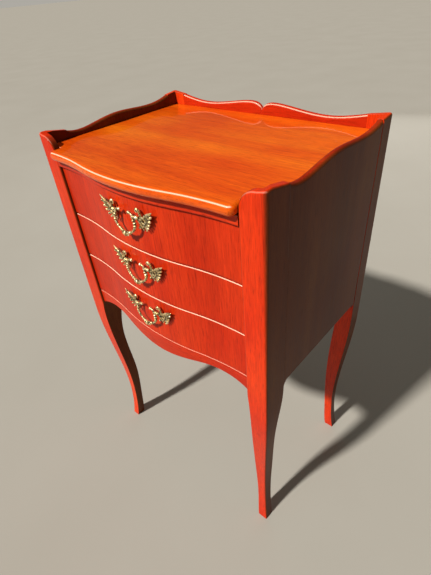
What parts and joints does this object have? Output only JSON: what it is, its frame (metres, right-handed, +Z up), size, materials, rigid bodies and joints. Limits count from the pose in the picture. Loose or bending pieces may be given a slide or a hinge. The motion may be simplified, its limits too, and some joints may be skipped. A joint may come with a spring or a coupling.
{
  "type": "bedside chest with drawers",
  "caption": "Small bedside chest on cabriole legs, with serpentine-fronted drawers, a scalloped gallery round the top and brass drop handles.",
  "frame": {"origin": "on the floor, under the middle of the overall box", "axes": "+Z up, -Y towards the drawer fronts, +X to the right of someone facing the drawers"},
  "size_m": [0.427, 0.3249, 0.7025],
  "materials": {
    "top_veneer": "glossy varnish over mahogany, grain along the width",
    "side_mahogany": "glossy varnish over mahogany, upright grain",
    "post_mahogany": "glossy varnish over solid mahogany, upright grain",
    "front_mahogany": "glossy varnish over mahogany, upright grain",
    "drawer_beech": "bare planed hardwood",
    "plywood": "bare thin plywood",
    "gilt_brass": "cast, gilded and aged, dark in the recesses",
    "steel_hardware": "plain"
  },
  "bodies": {
    "case": {"front_left_leg": "post_mahogany", "front_right_leg": "post_mahogany", "rear_left_leg": "post_mahogany", "rear_right_leg": "post_mahogany", "left_side_panel": "side_mahogany", "right_side_panel": "side_mahogany", "back_gallery_rail": "side_mahogany", "back_panel": "plywood", "back_bottom_rail": "drawer_beech", "top_board": "top_veneer", "top_front_rail": "post_mahogany", "front_apron": "post_mahogany", "left_runner_1": "drawer_beech", "right_runner_1": "drawer_beech", "left_runner_2": "drawer_beech", "right_runner_2": "drawer_beech", "left_runner_3": "drawer_beech", "right_runner_3": "drawer_beech", "runner_screws": "steel_hardware", "drawer_stops": "drawer_beech", "top_glue_blocks": "drawer_beech"},
    "drawer_1": {"drawer_1_front": "front_mahogany", "drawer_1_left_side": "drawer_beech", "drawer_1_right_side": "drawer_beech", "drawer_1_back": "drawer_beech", "drawer_1_bottom": "plywood", "drawer_1_left_mount": "gilt_brass", "drawer_1_right_mount": "gilt_brass", "drawer_1_handle_nuts": "steel_hardware"},
    "drawer_2": {"drawer_2_front": "front_mahogany", "drawer_2_left_side": "drawer_beech", "drawer_2_right_side": "drawer_beech", "drawer_2_back": "drawer_beech", "drawer_2_bottom": "plywood", "drawer_2_left_mount": "gilt_brass", "drawer_2_right_mount": "gilt_brass", "drawer_2_handle_nuts": "steel_hardware"},
    "drawer_3": {"drawer_3_front": "front_mahogany", "drawer_3_left_side": "drawer_beech", "drawer_3_right_side": "drawer_beech", "drawer_3_back": "drawer_beech", "drawer_3_bottom": "plywood", "drawer_3_left_mount": "gilt_brass", "drawer_3_right_mount": "gilt_brass", "drawer_3_handle_nuts": "steel_hardware"},
    "bail_1": {"drawer_1_bail": "gilt_brass"},
    "bail_2": {"drawer_2_bail": "gilt_brass"},
    "bail_3": {"drawer_3_bail": "gilt_brass"}
  },
  "joints": [
    {"name": "drawer_1_slide", "type": "slide", "parent": "case", "child": "drawer_1", "axis": [0, -1, 0], "range_m": [0, 0.2]},
    {"name": "drawer_2_slide", "type": "slide", "parent": "case", "child": "drawer_2", "axis": [0, -1, 0], "range_m": [0, 0.2]},
    {"name": "drawer_3_slide", "type": "slide", "parent": "case", "child": "drawer_3", "axis": [0, -1, 0], "range_m": [0, 0.2]},
    {"name": "bail_1_hinge", "type": "hinge", "parent": "drawer_1", "child": "bail_1", "pos_m": [0, -0.154, 0.6295], "axis": [-1, 0, 0], "range_deg": [0, 88]},
    {"name": "bail_2_hinge", "type": "hinge", "parent": "drawer_2", "child": "bail_2", "pos_m": [0, -0.154, 0.5485], "axis": [-1, 0, 0], "range_deg": [0, 88]},
    {"name": "bail_3_hinge", "type": "hinge", "parent": "drawer_3", "child": "bail_3", "pos_m": [0, -0.154, 0.4675], "axis": [-1, 0, 0], "range_deg": [0, 88]}
  ]
}
